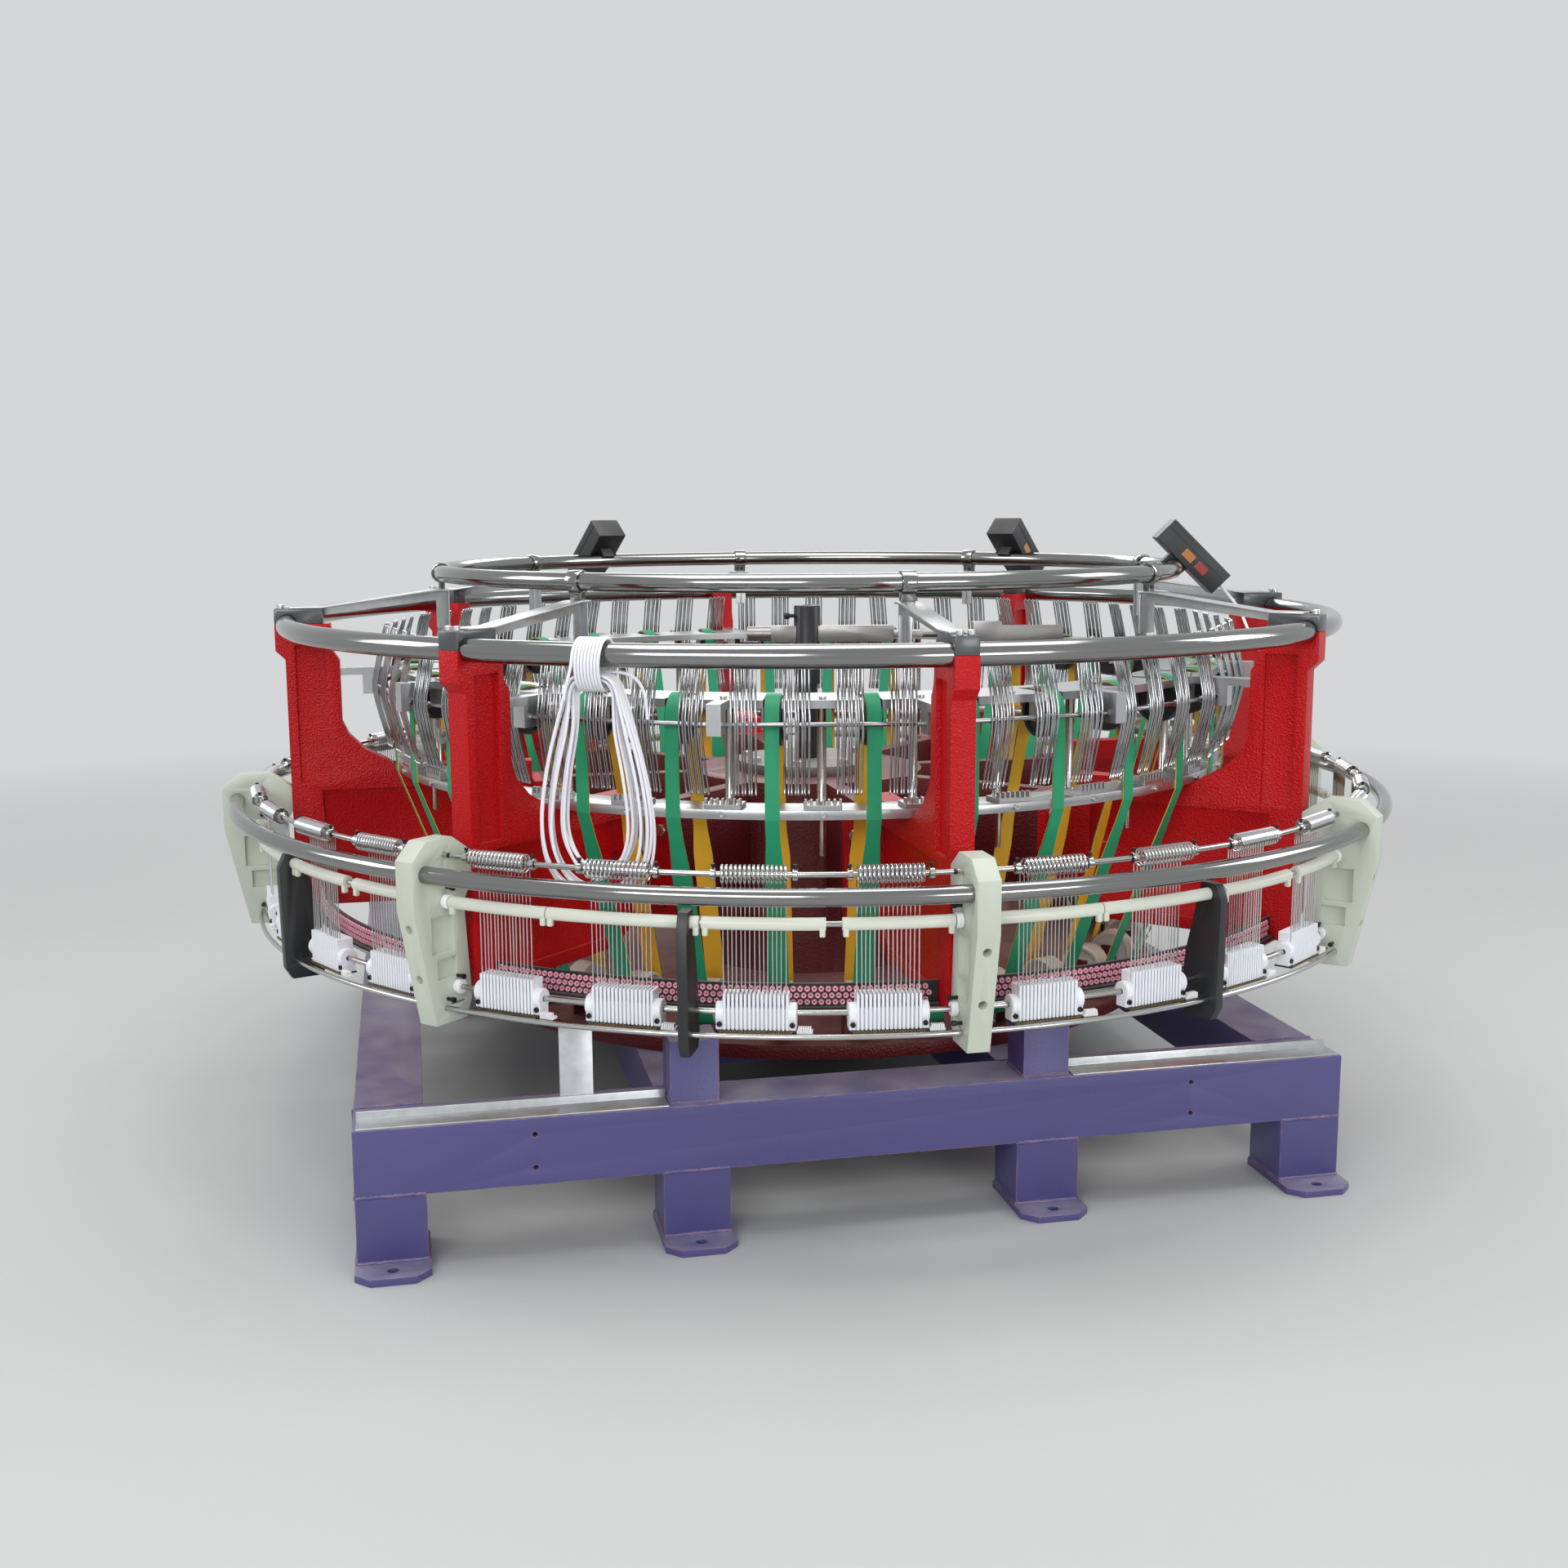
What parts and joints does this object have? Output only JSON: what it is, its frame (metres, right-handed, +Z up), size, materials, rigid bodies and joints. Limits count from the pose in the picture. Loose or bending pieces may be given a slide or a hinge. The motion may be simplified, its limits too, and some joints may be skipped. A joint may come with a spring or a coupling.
{
  "type": "circular loom",
  "caption": "Circular loom for tubular sack cloth: square-tube frame, cast posts, polished tube rings, warp guide springs, wire hooks, flat belts and a centre shaft with drive arms.",
  "frame": {"origin": "on the floor under the vertical axis of the loom", "axes": "+Z up along the main shaft, -Y towards the long front beam, +X to the right of someone facing the front"},
  "size_m": [2.364, 2.364, 1.153],
  "materials": {
    "frame_paint": "satin",
    "maroon_paint": "satin",
    "red_paint": "gloss",
    "clamp_grey": "satin",
    "ring_tube": "polished",
    "sheet": "zinc",
    "box_black": "satin",
    "rod_steel": "ground",
    "guide_cream": "satin",
    "contact_brass": "dull",
    "bracket_black": "satin",
    "comb_white": "satin",
    "spring_wire": "bright",
    "rail_steel": "satin",
    "plate_aluminium": "machined",
    "pulley_white": "satin",
    "belt_green": "matt",
    "hook_wire": "bright",
    "shaft_black": "satin",
    "arm_steel": "machined",
    "iron": "machined",
    "motor_paint": "satin",
    "belt_black": "matt",
    "bolt_zinc": "zinc",
    "cable_white": "satin"
  },
  "bodies": {
    "root": {"base_frame": "frame_paint", "foot_plates": "frame_paint", "base_casting": "maroon_paint", "posts": "red_paint", "ring_clamps": "clamp_grey", "upper_ring": "ring_tube", "top_ring": "ring_tube", "lower_ring": "ring_tube", "strap_clamps": "sheet", "ring_stays": "sheet", "frame_sheets": "sheet", "sensor_boxes": "box_black", "guide_rods": "rod_steel", "guide_pins": "rod_steel", "pillars": "rod_steel", "guide_tubes": "guide_cream", "outer_brackets": "guide_cream", "contact_strip": "contact_brass", "black_brackets": "bracket_black", "comb_blocks": "comb_white", "spring_coils": "spring_wire", "spring_wires": "spring_wire", "eyelet_rails": "rail_steel", "lower_ring_plate": "plate_aluminium", "comb_plates": "plate_aluminium", "upper_ring_plate": "plate_aluminium", "top_pulleys": "pulley_white", "low_pulleys": "pulley_white", "belts": "belt_green", "bearings": "iron", "motor": "motor_paint", "motor_plate": "motor_paint", "drive_belt": "belt_black", "bolts": "bolt_zinc", "cable_hank": "cable_white", "sensor_cable": "cable_white"},
    "rotor": {"main_shaft": "shaft_black", "drive_arms": "arm_steel", "main_pulley": "iron"},
    "motor_rotor": {"motor_pulley": "iron"},
    "hooks_01": {"hook_row_01": "hook_wire"},
    "hooks_02": {"hook_row_02": "hook_wire"},
    "hooks_03": {"hook_row_03": "hook_wire"},
    "hooks_04": {"hook_row_04": "hook_wire"},
    "hooks_05": {"hook_row_05": "hook_wire"},
    "hooks_06": {"hook_row_06": "hook_wire"},
    "hooks_07": {"hook_row_07": "hook_wire"},
    "hooks_08": {"hook_row_08": "hook_wire"},
    "hooks_09": {"hook_row_09": "hook_wire"},
    "hooks_10": {"hook_row_10": "hook_wire"},
    "hooks_11": {"hook_row_11": "hook_wire"},
    "hooks_12": {"hook_row_12": "hook_wire"},
    "hooks_13": {"hook_row_13": "hook_wire"},
    "hooks_14": {"hook_row_14": "hook_wire"},
    "hooks_15": {"hook_row_15": "hook_wire"},
    "hooks_16": {"hook_row_16": "hook_wire"}
  },
  "joints": [
    {"name": "shaft_turn", "type": "hinge", "parent": "root", "child": "rotor", "pos_m": [0, 0, 0.5], "axis": [0, 0, 1], "continuous": true},
    {"name": "motor_turn", "type": "hinge", "parent": "root", "child": "motor_rotor", "pos_m": [-0.6, 0.6, 0.1], "axis": [0, 0, 1], "continuous": true},
    {"name": "hook_swing_01", "type": "hinge", "parent": "root", "child": "hooks_01", "pos_m": [0.85132, 0.16934, 0.836], "axis": [-0.1951, 0.9808, 0], "range_deg": [-8, 8]},
    {"name": "hook_swing_02", "type": "hinge", "parent": "root", "child": "hooks_02", "pos_m": [0.72172, 0.48224, 0.836], "axis": [-0.5556, 0.8315, 0], "range_deg": [-8, 8]},
    {"name": "hook_swing_03", "type": "hinge", "parent": "root", "child": "hooks_03", "pos_m": [0.48224, 0.72172, 0.836], "axis": [-0.8315, 0.5556, 0], "range_deg": [-8, 8]},
    {"name": "hook_swing_04", "type": "hinge", "parent": "root", "child": "hooks_04", "pos_m": [0.16934, 0.85132, 0.836], "axis": [-0.9808, 0.1951, 0], "range_deg": [-8, 8]},
    {"name": "hook_swing_05", "type": "hinge", "parent": "root", "child": "hooks_05", "pos_m": [-0.16934, 0.85132, 0.836], "axis": [-0.9808, -0.1951, 0], "range_deg": [-8, 8]},
    {"name": "hook_swing_06", "type": "hinge", "parent": "root", "child": "hooks_06", "pos_m": [-0.48224, 0.72172, 0.836], "axis": [-0.8315, -0.5556, 0], "range_deg": [-8, 8]},
    {"name": "hook_swing_07", "type": "hinge", "parent": "root", "child": "hooks_07", "pos_m": [-0.72172, 0.48224, 0.836], "axis": [-0.5556, -0.8315, 0], "range_deg": [-8, 8]},
    {"name": "hook_swing_08", "type": "hinge", "parent": "root", "child": "hooks_08", "pos_m": [-0.85132, 0.16934, 0.836], "axis": [-0.1951, -0.9808, 0], "range_deg": [-8, 8]},
    {"name": "hook_swing_09", "type": "hinge", "parent": "root", "child": "hooks_09", "pos_m": [-0.85132, -0.16934, 0.836], "axis": [0.1951, -0.9808, 0], "range_deg": [-8, 8]},
    {"name": "hook_swing_10", "type": "hinge", "parent": "root", "child": "hooks_10", "pos_m": [-0.72172, -0.48224, 0.836], "axis": [0.5556, -0.8315, 0], "range_deg": [-8, 8]},
    {"name": "hook_swing_11", "type": "hinge", "parent": "root", "child": "hooks_11", "pos_m": [-0.48224, -0.72172, 0.836], "axis": [0.8315, -0.5556, 0], "range_deg": [-8, 8]},
    {"name": "hook_swing_12", "type": "hinge", "parent": "root", "child": "hooks_12", "pos_m": [-0.16934, -0.85132, 0.836], "axis": [0.9808, -0.1951, 0], "range_deg": [-8, 8]},
    {"name": "hook_swing_13", "type": "hinge", "parent": "root", "child": "hooks_13", "pos_m": [0.16934, -0.85132, 0.836], "axis": [0.9808, 0.1951, 0], "range_deg": [-8, 8]},
    {"name": "hook_swing_14", "type": "hinge", "parent": "root", "child": "hooks_14", "pos_m": [0.48224, -0.72172, 0.836], "axis": [0.8315, 0.5556, 0], "range_deg": [-8, 8]},
    {"name": "hook_swing_15", "type": "hinge", "parent": "root", "child": "hooks_15", "pos_m": [0.72172, -0.48224, 0.836], "axis": [0.5556, 0.8315, 0], "range_deg": [-8, 8]},
    {"name": "hook_swing_16", "type": "hinge", "parent": "root", "child": "hooks_16", "pos_m": [0.85132, -0.16934, 0.836], "axis": [0.1951, 0.9808, 0], "range_deg": [-8, 8]}
  ],
  "couplings": [
    {"joint": "motor_turn", "follows": "shaft_turn", "ratio": 2.8571}
  ]
}
